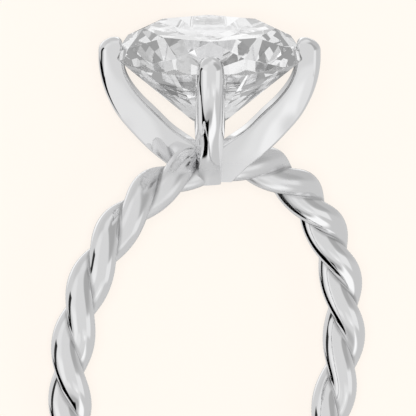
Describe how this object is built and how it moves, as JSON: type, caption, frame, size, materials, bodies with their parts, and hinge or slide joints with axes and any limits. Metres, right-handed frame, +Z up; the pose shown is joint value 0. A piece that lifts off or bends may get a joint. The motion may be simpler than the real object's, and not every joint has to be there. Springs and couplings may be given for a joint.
{
  "type": "twisted shank ring",
  "caption": "Finger ring whose shank is a twisted rope of two strands, with a raised claw head that holds a large round brilliant-cut stone.",
  "frame": {"origin": "middle of the bounds on the surface that the ring lies on", "axes": "the ring lies on its side: +Z is up, along the finger hole and leaning 8.1 degrees towards +Y, the head points to -Y and +X runs across the shank"},
  "size_m": [0.0204, 0.026, 0.0087],
  "materials": {
    "metal": "polished white precious metal",
    "stone": "clear faceted stone"
  },
  "bodies": {
    "root": {"mount": "metal", "stone": "stone"}
  },
  "joints": []
}
